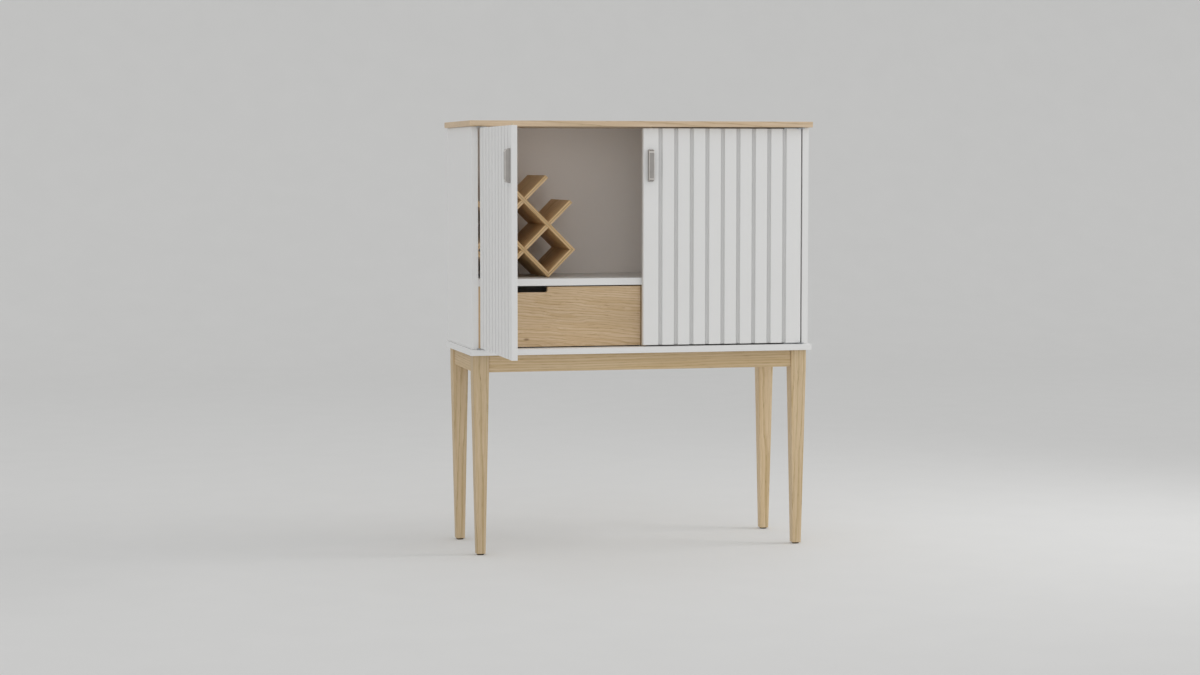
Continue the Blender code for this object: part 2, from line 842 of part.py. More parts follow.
clear_scene()
parts = new_collection("bar_cabinet")
cutters = new_collection("cutters")
body = add_empty("cabinet_body", (0.0, -rest_middle, 0.0), None)
top_board, bottom_board = add_carcass()
add_base()
for door_name, door_side in (("left", -1), ("right", 1)):
    add_door(door_name, door_side)
    add_pivot_plate(door_name + "_top_pivot_plate", door_side, top_board, -1)
    add_pivot_plate(door_name + "_bottom_pivot_plate", door_side, bottom_board, 1)
    add_strike(door_name, door_side, top_board)
add_drawer()
add_rack()
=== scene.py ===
import json
import math

import bmesh
import bpy
from mathutils import Matrix, Vector


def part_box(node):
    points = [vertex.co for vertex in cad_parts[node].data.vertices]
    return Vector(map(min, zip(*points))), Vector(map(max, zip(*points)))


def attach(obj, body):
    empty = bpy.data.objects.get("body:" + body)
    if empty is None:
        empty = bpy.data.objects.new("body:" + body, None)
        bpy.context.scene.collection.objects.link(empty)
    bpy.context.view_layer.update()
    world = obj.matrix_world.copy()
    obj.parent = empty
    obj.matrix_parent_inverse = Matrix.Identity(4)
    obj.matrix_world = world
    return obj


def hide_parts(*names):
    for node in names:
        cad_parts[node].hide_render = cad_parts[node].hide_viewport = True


# A white bar cabinet with oak legs, an oak top, a wine rack and a drawer. The CAD gives every
# place and size in metres. The doors face -Y. At rest the left door stands open.

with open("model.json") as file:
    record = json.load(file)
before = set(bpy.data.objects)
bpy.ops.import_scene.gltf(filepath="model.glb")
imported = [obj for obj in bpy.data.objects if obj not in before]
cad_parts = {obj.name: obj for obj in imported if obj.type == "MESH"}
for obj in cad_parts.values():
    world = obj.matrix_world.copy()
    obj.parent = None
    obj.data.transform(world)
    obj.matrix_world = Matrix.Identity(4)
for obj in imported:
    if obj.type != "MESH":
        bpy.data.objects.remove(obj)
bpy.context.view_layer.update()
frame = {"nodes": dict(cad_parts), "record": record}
cadNodes = frame["nodes"]
cadBodies = frame["record"]["behaviour"]["bodies"]
nodeBody = {node: body for body, held in cadBodies.items() for node in held}
nodeSlot = {row["node"]: row["material_slot"] for row in frame["record"]["subparts"]}
print("cabinet loaded:", len(cadNodes), "pieces")


# Camera, taken from the photograph's own perspective
cameraLook = {
    "place": (-1.8344, -6.9114, 1.0962),
    "tiltDown": 3.88,  # degrees
    "turnRight": 13.797,  # degrees
    "lens": 76.26,  # mm
    "sensor": 36,  # mm across the picture
}


def addCamera(look):
    bpy.ops.object.camera_add(
        location=look["place"],
        rotation=(math.radians(90 - look["tiltDown"]), 0, math.radians(-look["turnRight"])),
    )
    camera = bpy.context.object
    camera.name = "photographView"
    camera.data.sensor_fit = "HORIZONTAL"
    camera.data.sensor_width = look["sensor"]
    camera.data.lens = look["lens"]
    bpy.context.scene.camera = camera


# Helpers for materials
mixColours = {"data_type": "RGBA"}
softStep = {"interpolation_type": "SMOOTHSTEP"}
ownAxes = {"vector_type": "TEXTURE"}  # brings a pattern to a piece's own place and turn
commonNoise = {"From Min": 0.3, "From Max": 0.7}  # nearly all of a noise lies between these


def colour(hexCode):
    # an sRGB hex value turned to the linear colour that the shader wants
    parts = [int(hexCode[start : start + 2], 16) / 255 for start in (1, 3, 5)]
    linear = [part / 12.92 if part <= 0.04045 else ((part + 0.055) / 1.055) ** 2.4 for part in parts]
    return (*linear, 1.0)


def feed(tree, node, links):
    # links holds, for each input of the node, the output that goes to it
    for socket, source in links.items():
        tree.links.new(source, node.inputs[socket])


def addNode(tree, kind, settings=None, values=None, links=None):
    node = tree.nodes.new(kind)
    for name, value in (settings or {}).items():
        setattr(node, name, value)
    for socket, value in (values or {}).items():
        node.inputs[socket].default_value = value
    feed(tree, node, links or {})
    return node


def newMaterial(name):
    material = bpy.data.materials.new(name)
    material.use_nodes = True
    return material, material.node_tree, material.node_tree.nodes["Principled BSDF"]


def finish(thing, material):
    thing.data.materials.clear()
    thing.data.materials.append(material)


# Oak, sawn and sanded, with a matt clear lacquer: growth rings that a flat face cuts into
# arches and a narrow face into stripes, long open pores, and slow changes of tone.
oakLook = {
    "light": "#D8BE9D",
    "tan": "#C8AA80",
    "dark": "#B29361",
    "pore": "#947447",
    "knot": "#7D5B35",
    "ringWidth": 7.0,  # mm between growth rings
    "denseShare": 0.62,  # of each ring, the rest is its porous band
    "sideLean": 0.3,  # share of a tree's lean that it also has sideways
    "ringStrength": 0.55,
    "sway": 9.0,  # mm that the rings wander
    "swayWaves": (2.2, 14.0),  # in a metre along and across the grain, as in the next three
    "poreWaves": (1000 / 38, 1000 / 1.1),  # real pores are 0.3 mm wide and would not show
    "streakWaves": (3.0, 1000 / 4.5),
    "patchWaves": (1.6, 7.0),
    "poreStrength": (0.25, 0.6),  # everywhere, and added in the porous band
    "patchShade": (0.93, 1.05),  # darkest and lightest patch
    "plyShade": 0.72,  # of an inner ply, beside the faces
    "plyBlur": 0.3,  # share of the ply's half width over which it fades
    "knotSize": (24.0, 60.0, 10.0),  # mm long, deep enough to pass through the board, and high
    "knotStrength": 0.75,
    "roughness": 0.52,
    "poreRoughness": 0.72,
}
waveSpacing = 2 * math.pi / 20  # metres between the rings of a wave texture whose scale is 1


def grainPattern(tree, along, waves, detail, roughness=0.5):
    # noise that is drawn out along the grain
    long, wide = waves
    drawn = addNode(
        tree, "ShaderNodeMapping", values={"Scale": (long, wide, wide)}, links={"Vector": along}
    )
    return addNode(
        tree,
        "ShaderNodeTexNoise",
        values={"Scale": 1.0, "Detail": detail, "Roughness": roughness},
        links={"Vector": drawn.outputs[0]},
    )


def swayGrain(tree, board, figure):
    # the board's own axes, bent so that no ring, streak or pore runs quite straight
    long, wide = oakLook["swayWaves"]
    wander = grainPattern(tree, board, (long * figure, wide), 3.0)
    centred = addNode(
        tree,
        "ShaderNodeVectorMath",
        {"operation": "SUBTRACT"},
        {1: (0.5, 0.5, 0.5)},
        {0: wander.outputs["Color"]},
    )
    reach = 2 * oakLook["sway"] / 1000 * figure
    bent = addNode(
        tree,
        "ShaderNodeVectorMath",
        {"operation": "MULTIPLY_ADD"},
        {1: (0, reach, reach)},
        {0: centred.outputs[0], 2: board},
    )
    return bent.outputs[0]


def porousBand(tree, bent, heart, lean):
    # 1 at the start of each growth ring, 0 in its dense wood
    turn = (0, math.radians(lean), math.radians(lean * oakLook["sideLean"]))
    trunk = addNode(
        tree,
        "ShaderNodeMapping",
        ownAxes,
        {"Location": heart, "Rotation": turn},
        {"Vector": bent},
    )
    rings = addNode(
        tree,
        "ShaderNodeTexWave",
        {"wave_type": "RINGS", "rings_direction": "X", "wave_profile": "SAW"},
        {"Scale": waveSpacing / (oakLook["ringWidth"] / 1000), "Distortion": 0.0},
        {"Vector": trunk.outputs[0]},
    )
    band = addNode(
        tree,
        "ShaderNodeMapRange",
        softStep,
        {"From Min": oakLook["denseShare"], "From Max": 1.0},
        {"Value": rings.outputs["Fac"]},
    )
    return band.outputs[0]


def knotSpot(tree, place, knot):
    # how strongly the knot shows: most in its middle, and fading to its rim
    apart = addNode(
        tree, "ShaderNodeVectorMath", {"operation": "SUBTRACT"}, {1: knot}, {0: place}
    )
    shares = addNode(  # 1 at the knot's rim, which is half its size away
        tree,
        "ShaderNodeVectorMath",
        {"operation": "MULTIPLY"},
        {1: [2 * 1000 / size for size in oakLook["knotSize"]]},
        {0: apart.outputs[0]},
    )
    away = addNode(
        tree, "ShaderNodeVectorMath", {"operation": "LENGTH"}, links={0: shares.outputs[0]}
    )
    spot = addNode(
        tree,
        "ShaderNodeMapRange",
        softStep,
        {"From Min": 0.2, "From Max": 1.0, "To Min": oakLook["knotStrength"], "To Max": 0.0},
        {"Value": away.outputs["Value"]},
    )
    return spot.outputs[0]


def shadeCore(tree, board, core, shade):
    # the inner ply of a thin board is darker where it shows in an edge
    axes = addNode(tree, "ShaderNodeSeparateXYZ", links={"Vector": board})
    depth = addNode(
        tree, "ShaderNodeMath", {"operation": "ABSOLUTE"}, links={0: axes.outputs["Z"]}
    )
    blur = core * oakLook["plyBlur"]
    ply = addNode(
        tree,
        "ShaderNodeMapRange",
        values={
            "From Min": core - blur,
            "From Max": core + blur,
            "To Min": oakLook["plyShade"],
            "To Max": 1.0,
        },
        links={"Value": depth.outputs[0]},
    )
    both = addNode(
        tree, "ShaderNodeMath", {"operation": "MULTIPLY"}, links={0: shade, 1: ply.outputs[0]}
    )
    return both.outputs[0]


def makeOak(
    name, centre, turn, heart, lean, tone=0.0, richness=1.0, core=None, figure=1.0, knot=None, yellow=0.0
):
    # turn brings X along the grain and Z out of the face. heart is the middle of the tree from
    # the board's centre, and lean the degrees between them. tone lightens and richness
    # saturates. core is the half width of a darker inner ply. figure above 1 is a wavier grain.
    # yellow turns the hue by that many degrees, as solid oak is yellower than the veneer.
    material, tree, shader = newMaterial(name)
    place = addNode(tree, "ShaderNodeTexCoord").outputs["Object"]
    board = addNode(
        tree,
        "ShaderNodeMapping",
        ownAxes,
        {"Location": centre, "Rotation": [math.radians(angle) for angle in turn]},
        {"Vector": place},
    ).outputs[0]
    bent = swayGrain(tree, board, figure)
    band = porousBand(tree, bent, heart, lean)
    grit = grainPattern(tree, bent, oakLook["poreWaves"], 1.0)
    streaks = grainPattern(tree, bent, oakLook["streakWaves"], 4.0, 0.6)
    patches = grainPattern(tree, board, oakLook["patchWaves"], 2.0)

    pores = addNode(
        tree,
        "ShaderNodeMapRange",
        softStep,
        {"From Min": 0.56, "From Max": 0.72},
        {"Value": grit.outputs["Fac"]},
    )
    everywhere, added = oakLook["poreStrength"]
    poreZone = addNode(
        tree,
        "ShaderNodeMath",
        {"operation": "MULTIPLY_ADD"},
        {1: added, 2: everywhere},
        {0: band},
    )
    poreAmount = addNode(
        tree,
        "ShaderNodeMath",
        {"operation": "MULTIPLY"},
        links={0: pores.outputs[0], 1: poreZone.outputs[0]},
    ).outputs[0]
    ringAmount = addNode(
        tree,
        "ShaderNodeMath",
        {"operation": "MULTIPLY"},
        {1: oakLook["ringStrength"]},
        {0: band},
    ).outputs[0]
    streakAmount = addNode(
        tree,
        "ShaderNodeMapRange",
        values={"From Min": 0.35, "From Max": 0.68},
        links={"Value": streaks.outputs["Fac"]},
    ).outputs[0]

    wood = addNode(
        tree,
        "ShaderNodeMix",
        mixColours,
        {6: colour(oakLook["light"]), 7: colour(oakLook["tan"])},
        {0: streakAmount},
    ).outputs[2]
    stains = [("dark", ringAmount), ("pore", poreAmount)]
    if knot:
        stains.append(("knot", knotSpot(tree, place, knot)))
    for stain, amount in stains:
        wood = addNode(
            tree, "ShaderNodeMix", mixColours, {7: colour(oakLook[stain])}, {0: amount, 6: wood}
        ).outputs[2]

    darkest, lightest = oakLook["patchShade"]
    shade = addNode(
        tree,
        "ShaderNodeMapRange",
        values={**commonNoise, "To Min": darkest + tone, "To Max": lightest + tone},
        links={"Value": patches.outputs["Fac"]},
    ).outputs[0]
    if core:
        shade = shadeCore(tree, board, core, shade)
    toned = addNode(
        tree,
        "ShaderNodeHueSaturation",
        values={"Saturation": richness, "Hue": 0.5 + yellow / 360},
        links={"Color": wood, "Value": shade},
    )
    dull = addNode(
        tree,
        "ShaderNodeMapRange",
        values={"To Min": oakLook["roughness"], "To Max": oakLook["poreRoughness"]},
        links={"Value": poreAmount},
    )
    relief = addNode(
        tree,
        "ShaderNodeMath",
        {"operation": "MULTIPLY_ADD"},
        {1: -1.0},
        {0: poreAmount, 2: streaks.outputs["Fac"]},
    )
    bump = addNode(
        tree,
        "ShaderNodeBump",
        values={"Strength": 0.25, "Distance": 0.0004},
        links={"Height": relief.outputs[0]},
    )
    links = {"Base Color": toned.outputs[0], "Roughness": dull.outputs[0], "Normal": bump.outputs[0]}
    feed(tree, shader, links)
    return material


# Satin lacquer sprayed on fibreboard: flat and even, with the faint peel that spraying leaves.
lacquerLook = {
    "white": "#ECECEB",
    "cloudWaves": 6.0,  # in a metre, slow changes of tone
    "cloudShade": 0.985,  # of the darkest cloud
    "peelWaves": 400.0,  # in a metre, so 2.5 mm between the peel's crests
    "paintedCoveShade": 0.16,  # painted shade, darker at the bottom of a groove where shade falls
}


def makeLacquer(name, hexCode, roughness=0.4, paintedCoveShade=0.0):
    material, tree, shader = newMaterial(name)
    place = addNode(tree, "ShaderNodeTexCoord").outputs["Object"]
    cloud = addNode(
        tree,
        "ShaderNodeTexNoise",
        values={"Scale": lacquerLook["cloudWaves"], "Detail": 3.0},
        links={"Vector": place},
    ).outputs["Fac"]
    shade = addNode(
        tree,
        "ShaderNodeMapRange",
        values={**commonNoise, "To Min": lacquerLook["cloudShade"], "To Max": 1.0},
        links={"Value": cloud},
    ).outputs[0]
    # painted shade: a groove's bottom is darkened by its depth, standing in for the shade that falls
    # there
    if paintedCoveShade:
        depth = addNode(tree, "ShaderNodeAttribute", {"attribute_name": "paintedShadeDepth"})
        shade = addNode(
            tree,
            "ShaderNodeMath",
            {"operation": "MULTIPLY_ADD"},
            {1: -paintedCoveShade},
            {0: depth.outputs["Fac"], 2: shade},
        ).outputs[0]
    tinted = addNode(
        tree, "ShaderNodeHueSaturation", values={"Color": colour(hexCode)}, links={"Value": shade}
    )
    sheen = addNode(
        tree,
        "ShaderNodeMapRange",
        values={"To Min": roughness - 0.04, "To Max": roughness + 0.06},
        links={"Value": cloud},
    )
    peel = addNode(
        tree,
        "ShaderNodeTexNoise",
        values={"Scale": lacquerLook["peelWaves"], "Detail": 1.0},
        links={"Vector": place},
    )
    bump = addNode(
        tree,
        "ShaderNodeBump",
        values={"Strength": 0.03, "Distance": 0.0002},
        links={"Height": peel.outputs["Fac"]},
    )
    links = {"Base Color": tinted.outputs[0], "Roughness": sheen.outputs[0], "Normal": bump.outputs[0]}
    feed(tree, shader, links)
    return material


# Metals, plated or brushed: a slightly uneven plating, and fine lines along one direction.
metalLook = {
    "brushWaves": 900.0,  # in a metre, real lines are 0.1 mm apart and would not show
    "cloudWaves": 60.0,  # in a metre, uneven plating
    "cloudShade": (0.92, 1.04),  # darkest and lightest
}


def makeMetal(name, hexCode, roughness, grain=(1, 1, 1), lines=0.0, highlightCode=None):
    # a small number in grain draws the brush lines out that way, lines is how deep they are, and the
    # last argument is the lighter colour of a painted highlight on the faces marked for it
    material, tree, shader = newMaterial(name)
    shader.inputs["Metallic"].default_value = 1.0
    place = addNode(tree, "ShaderNodeTexCoord").outputs["Object"]
    drawn = addNode(tree, "ShaderNodeMapping", values={"Scale": grain}, links={"Vector": place})
    brush = addNode(
        tree,
        "ShaderNodeTexNoise",
        values={"Scale": metalLook["brushWaves"], "Detail": 2.0},
        links={"Vector": drawn.outputs[0]},
    ).outputs["Fac"]
    cloud = addNode(
        tree,
        "ShaderNodeTexNoise",
        values={"Scale": metalLook["cloudWaves"], "Detail": 3.0},
        links={"Vector": place},
    )
    darkest, lightest = metalLook["cloudShade"]
    shade = addNode(
        tree,
        "ShaderNodeMapRange",
        values={**commonNoise, "To Min": darkest, "To Max": lightest},
        links={"Value": cloud.outputs["Fac"]},
    )
    # painted highlight: faces marked in the piece's attribute take the lighter colour
    paintedHighlight = addNode(tree, "ShaderNodeAttribute", {"attribute_name": "paintedHighlight"})
    plating = addNode(
        tree,
        "ShaderNodeMix",
        mixColours,
        {6: colour(hexCode), 7: colour(highlightCode or hexCode)},
        {0: paintedHighlight.outputs["Fac"]},
    )
    tinted = addNode(
        tree,
        "ShaderNodeHueSaturation",
        links={"Color": plating.outputs[2], "Value": shade.outputs[0]},
    )
    sheen = addNode(
        tree,
        "ShaderNodeMapRange",
        values={"To Min": roughness - 0.06, "To Max": roughness + 0.08},
        links={"Value": brush},
    )
    links = {"Base Color": tinted.outputs[0], "Roughness": sheen.outputs[0]}
    if lines:
        bump = addNode(
            tree,
            "ShaderNodeBump",
            values={"Strength": lines, "Distance": 0.0001},
            links={"Height": brush},
        )
        links["Normal"] = bump.outputs[0]
    feed(tree, shader, links)
    return material


# Hardboard: a smooth painted face inside, and behind it raw brown fibre with the press's fine net.
hardboardLook = {
    "face": "#FBF5F0",
    "fibre": "#B39C7D",
    "darkFibre": "#9F8768",
    "fibreWaves": 220.0,  # in a metre
    "netCells": 330.0,  # in a metre, so 3 mm wide, drawn coarser than the real 1.5 mm
    "rawDepth": 0.0006,  # of the thickness, so that the eased rear edges are bare too
}


def makeHardboard(name, look, rearFace):
    material, tree, shader = newMaterial(name)
    place = addNode(tree, "ShaderNodeTexCoord").outputs["Object"]
    axes = addNode(tree, "ShaderNodeSeparateXYZ", links={"Vector": place})
    raw = addNode(
        tree,
        "ShaderNodeMath",
        {"operation": "GREATER_THAN"},
        {1: rearFace - look["rawDepth"]},
        {0: axes.outputs["Y"]},
    ).outputs[0]
    fibre = addNode(
        tree,
        "ShaderNodeTexNoise",
        values={"Scale": look["fibreWaves"], "Detail": 4.0, "Roughness": 0.6},
        links={"Vector": place},
    )
    net = addNode(
        tree,
        "ShaderNodeTexVoronoi",
        values={"Scale": look["netCells"]},
        links={"Vector": place},
    )
    mottle = addNode(
        tree,
        "ShaderNodeMapRange",
        values={"From Min": 0.35, "From Max": 0.65},
        links={"Value": fibre.outputs["Fac"]},
    )
    brown = addNode(
        tree,
        "ShaderNodeMix",
        mixColours,
        {6: colour(look["darkFibre"]), 7: colour(look["fibre"])},
        {0: mottle.outputs[0]},
    )
    both = addNode(
        tree, "ShaderNodeMix", mixColours, {6: colour(look["face"])}, {0: raw, 7: brown.outputs[2]}
    )
    rough = addNode(
        tree, "ShaderNodeMapRange", values={"To Min": 0.6, "To Max": 0.85}, links={"Value": raw}
    )
    relief = addNode(
        tree,
        "ShaderNodeMath",
        {"operation": "MULTIPLY"},
        links={0: net.outputs["Distance"], 1: raw},
    )
    bump = addNode(
        tree,
        "ShaderNodeBump",
        values={"Strength": 0.5, "Distance": 0.0004},
        links={"Height": relief.outputs[0]},
    )
    links = {"Base Color": both.outputs[2], "Roughness": rough.outputs[0], "Normal": bump.outputs[0]}
    feed(tree, shader, links)
    return material


slotMaterial = {
    "white_lacquer": makeLacquer("satinWhiteLacquer", lacquerLook["white"]),
    "back_board": makeHardboard("paintedHardboard", hardboardLook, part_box("back_panel")[1].y),
    # on the pulls, the lighter colour is a painted highlight on their rounded edges
    "satin_nickel": makeMetal(
        "satinNickelPlate", "#ABA7A3", 0.34, grain=(1, 1, 0.04), lines=0.15, highlightCode="#DEDAD5"
    ),
    "zinc_steel": makeMetal("zincPlatedSteel", "#B7BABD", 0.36),
    "brass": makeMetal("paleTurnedBrass", "#D3C3A6", 0.32),
    "black_plastic": makeLacquer("mouldedBlackPlastic", "#151515", 0.5),
}
# the doors' lacquer, with painted shade in the bottoms of the grooves
shadedDoorLacquer = makeLacquer(
    "satinDoorLacquerPaintedShade", lacquerLook["white"], paintedCoveShade=lacquerLook["paintedCoveShade"]
)

# Each oak piece that shows is cut from a board of its own, and the drawer's box and the corner
# blocks are cut from two plain ones. These are the ways in which boards lie, in degrees.
flat, onEdge, onEdgeInwards, upright = (0, 0, 0), (90, 0, 0), (90, 0, 90), (0, 90, 0)
oakFor = {
    "top_panel": makeOak(
        "oakVeneerTop", (0, 0.23, 1.212), flat, (0, 0.02, -0.10), 2.0, tone=0.12, richness=0.87
    ),
    "drawer_front": makeOak(
        "oakDrawerFront",
        (-0.23, 0.083, 0.66),
        (90, 4, 0),
        (0.1, -0.10, -0.05),
        2.2,
        figure=1.9,
        knot=(-0.332, 0.0754, 0.606),
    ),
    "drawer_packer": makeOak("oakPacker", (-0.46, 0.083, 0.66), upright, (0, 0.06, -0.05), 1.0),
    "drawer_divider": makeOak("oakDivider", (0.01, 0.083, 0.66), upright, (0, 0.07, -0.04), 1.0),
}
plainOak = {
    "across": makeOak("oakBoxAcross", (0, 0.2, 0.65), onEdge, (0, 0.12, -0.1), 0.8),
    "along": makeOak("oakBoxAlong", (-0.2, 0.2, 0.65), onEdgeInwards, (0, 0.12, -0.1), 0.8),
}
railWood = {  # name, centre, how it lies, middle of the tree, and lean
    "front_rail": ("oakFrontRail", (0, 0.06, 0.54), onEdge, (0, 0.09, -0.05), 0.6),
    "rear_rail": ("oakRearRail", (0, 0.4, 0.54), onEdge, (0, -0.12, -0.09), 0.5),
    "left_rail": ("oakLeftRail", (-0.47, 0.23, 0.54), onEdgeInwards, (0, 0.1, -0.06), 0.8),
    "right_rail": ("oakRightRail", (0.47, 0.23, 0.54), onEdgeInwards, (0, -0.1, -0.07), 0.7),
}
legWood = {  # middle of the tree, and tone
    "front_left_leg": ((0.0, 0.10, -0.04), -0.06),
    "front_right_leg": ((0.0, -0.09, -0.05), 0.05),
    "rear_left_leg": ((0.0, 0.08, 0.06), -0.02),
    "rear_right_leg": ((0.0, -0.12, 0.02), 0.12),
}
rackWood = {
    "middleY": 0.26,
    "falls": {  # degrees that the board's face is turned about Y
        "top_to_right": 45,
        "left_to_foot": 45,
        "left_foot": 45,
        "top_to_left": 135,
        "right_to_foot": 135,
        "right_foot": 135,
    },
    "firstHeart": (0.0, -0.08, -0.09),  # middle of the first board's tree
    "heartStep": (0.0, 0.03, 0.0),  # from there to the next board's
    "wood": {"lean": 1.2, "tone": 0.14, "richness": 1.12, "core": 0.0014},
}
for node, wood in railWood.items():
    oakFor[node] = makeOak(*wood, yellow=2.0)
for node, (heart, tone) in legWood.items():
    low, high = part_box(node)
    oakFor[node] = makeOak(
        "oak_" + node, (low + high) / 2, upright, heart, 0.7, tone, richness=0.95, yellow=2.5
    )
for index, (board, fall) in enumerate(rackWood["falls"].items()):
    thing = cadNodes["rack_board_" + board]
    out = Vector((math.sin(math.radians(fall)), 0, math.cos(math.radians(fall))))
    reach = [out.dot(thing.matrix_world @ corner.co) for corner in thing.data.vertices]
    centre = out * (min(reach) + max(reach)) / 2 + Vector((0, rackWood["middleY"], 0))
    heart = Vector(rackWood["firstHeart"]) + index * Vector(rackWood["heartStep"])
    oakFor["rack_board_" + board] = makeOak(
        "oakRack" + str(index + 1), centre, (0, fall, 0), heart, **rackWood["wood"]
    )


def materialFor(node):
    if node in oakFor:
        return oakFor[node]
    if "door_panel" in node:
        return shadedDoorLacquer
    if nodeSlot[node] in slotMaterial:
        return slotMaterial[nodeSlot[node]]
    return plainOak["along" if "side" in node or "bottom" in node else "across"]


for node in nodeSlot:
    finish(cadNodes[node], materialFor(node))
print("materials on")


# Helpers for modelling: each one is a step that is done by hand in the viewport
near = 0.0001  # metres, closer than this is the same place
squarely = 0.99  # of a normal's length along an axis, for a face that looks that way
cutPast = 0.01  # metres that a cutter runs past what it cuts
sharpAngle = math.radians(40)


def deselectAll():
    for thing in bpy.context.selected_objects:
        thing.select_set(False)


def takeInHand(piece):
    deselectAll()
    piece.select_set(True)
    bpy.context.view_layer.objects.active = piece


def applyPlace(piece):
    takeInHand(piece)
    bpy.ops.object.transform_apply(location=True, rotation=True, scale=True)


def nameNew(name, size=(1, 1, 1)):
    # the primitive that was just added gets its name and its size
    piece = bpy.context.object
    piece.name = piece.data.name = name
    piece.scale = size
    applyPlace(piece)
    return piece


def startBlock(name, low, high):
    deselectAll()
    low, high = Vector(low), Vector(high)
    bpy.ops.mesh.primitive_cube_add(size=1, location=(low + high) / 2)
    return nameNew(name, high - low)


def startSheet(name, centre, width, depth, standing=False):
    # a flat rectangle that lies, or stands and faces the front
    deselectAll()
    turn = (math.radians(90) if standing else 0, 0, 0)
    bpy.ops.mesh.primitive_plane_add(size=1, location=centre, rotation=turn)
    return nameNew(name, (width, depth, 1))


def startRod(name, radius, low, high, sides=32):
    deselectAll()
    low, high = Vector(low), Vector(high)
    along = high - low
    bpy.ops.mesh.primitive_cylinder_add(
        vertices=sides,
        radius=radius,
        depth=along.length,
        location=(low + high) / 2,
        rotation=along.to_track_quat("Z", "Y").to_euler(),
    )
    return nameNew(name)


def openEdit(piece):
    takeInHand(piece)
    bpy.ops.object.mode_set(mode="EDIT")


def closeEdit():
    bpy.ops.object.mode_set(mode="OBJECT")


def middle(item):
    return sum((corner.co for corner in item.verts), Vector()) / len(item.verts)


def pick(kind, test):
    # selects the faces, edges or corners of the piece in hand that pass the test
    bpy.ops.mesh.select_mode(type=kind)
    bpy.ops.mesh.select_all(action="DESELECT")
    mesh = bpy.context.object.data
    shape = bmesh.from_edit_mesh(mesh)
    shape.normal_update()
    for item in {"FACE": shape.faces, "EDGE": shape.edges, "VERT": shape.verts}[kind]:
        if test(item):
            item.select_set(True)
    shape.select_flush_mode()
    bmesh.update_edit_mesh(mesh)


def roundOff(kind, width, segments, test):
    # rounds the edges or corners that pass the test
    pick(kind, test)
    affect = {"EDGE": "EDGES", "VERT": "VERTICES"}[kind]
    bpy.ops.mesh.bevel(offset=width, segments=segments, affect=affect)


def cutAcross(place, normal):
    bpy.ops.mesh.select_all(action="SELECT")
    bpy.ops.mesh.bisect(plane_co=place, plane_no=normal)


def cutAway(test):
    # takes faces out of a sheet, and the lines that are left over in it
    pick("FACE", test)
    bpy.ops.mesh.delete(type="FACE")
    bpy.ops.mesh.select_all(action="SELECT")
    bpy.ops.mesh.dissolve_limited(angle_limit=math.radians(1))


def faceOutwards():
    bpy.ops.mesh.select_all(action="SELECT")
    bpy.ops.mesh.normals_make_consistent(inside=False)


def thicken(way):
    # pulls a whole sheet out into a solid
    bpy.ops.mesh.select_all(action="SELECT")
    bpy.ops.mesh.extrude_region_move(TRANSFORM_OT_translate={"value": way})
    faceOutwards()


def useModifier(piece, kind, **settings):
    takeInHand(piece)
    modifier = piece.modifiers.new(kind.lower(), kind)
    for name, value in settings.items():
        setattr(modifier, name, value)
    bpy.ops.object.modifier_apply(modifier=modifier.name)


def easeEdges(piece, width, segments=3):
    limit = {"limit_method": "ANGLE", "angle_limit": sharpAngle}
    useModifier(piece, "BEVEL", width=width, segments=segments, **limit)


def cutWith(piece, cutter):
    useModifier(piece, "BOOLEAN", operation="DIFFERENCE", object=cutter, solver="EXACT")
    bpy.data.objects.remove(cutter, do_unlink=True)


def copyPiece(piece, name, place):
    # a copy with a mesh of its own, moved, turned or mirrored by a matrix
    copy = piece.copy()
    copy.data = piece.data.copy()
    copy.name = copy.data.name = name
    bpy.context.collection.objects.link(copy)
    copy.matrix_world = place
    applyPlace(copy)
    if place.determinant() < 0:
        openEdit(copy)
        faceOutwards()
        closeEdit()
    return copy


def leftCopy(piece, name):
    # the right door's piece mirrored, and turned about the left pin from shut to how it rests
    pin = Vector(doorLook["leftPin"])
    turn = Matrix.Rotation(math.radians(doorLook["leftTurn"]), 4, "Z")
    mirror = Matrix.Scale(-1, 4, (1, 0, 0))
    return copyPiece(piece, name, Matrix.Translation(pin) @ turn @ Matrix.Translation(-pin) @ mirror)


def settle(piece, node, material, stands=True):
    # shading, finish and the place of a finished piece among the bodies
    takeInHand(piece)
    bpy.ops.object.shade_smooth_by_angle(angle=sharpAngle)
    useModifier(piece, "WEIGHTED_NORMAL", keep_sharp=True, weight=60)
    finish(piece, material)
    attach(piece, nodeBody[node])
    if stands:
        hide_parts(node)


def standsFor(piece, node):
    settle(piece, node, materialFor(node))


# Boards of the carcass and the base, their edges eased with a block of sandpaper
boardLook = {
    "ease": 0.0009,
    "play": 0.0003,  # round each plate that is let in
    "plateDepth": 0.0023,
    "plateSteps": 6,  # of the round at each corner of a pivot plate
    "strikeDepth": 0.0015,
    "strikeBore": (0.0036, 0.0040),  # radius, and depth from the strike's centre
    "rebate": 0.008,  # each way from the side's inner face
    "names": {
        "bottom_panel": "bottomBoard",
        "middle_shelf": "shelfBoard",
        "left_side_panel": "leftSideBoard",
        "right_side_panel": "rightSideBoard",
        "top_panel": "topBoard",
        "drawer_packer": "drawerPacker",
        "drawer_divider": "drawerDivider",
        "back_panel": "backBoard",
        "front_rail": "frontRail",
        "rear_rail": "rearRail",
        "left_rail": "leftRail",
        "right_rail": "rightRail",
    },
}


def cutRebate(board, node, look):
    # the back board's edge lies in it
    low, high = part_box(node)
    backLow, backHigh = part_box("back_panel")
    inner = min(abs(low.x), abs(high.x))
    side = 1 if low.x > 0 else -1
    left, right = sorted((side * (inner - look["rebate"]), side * (inner + look["rebate"])))
    start = (left, backLow.y - look["play"], low.z - cutPast)
    cutWith(board, startBlock("rebate", start, (right, high.y + cutPast, high.z + cutPast)))


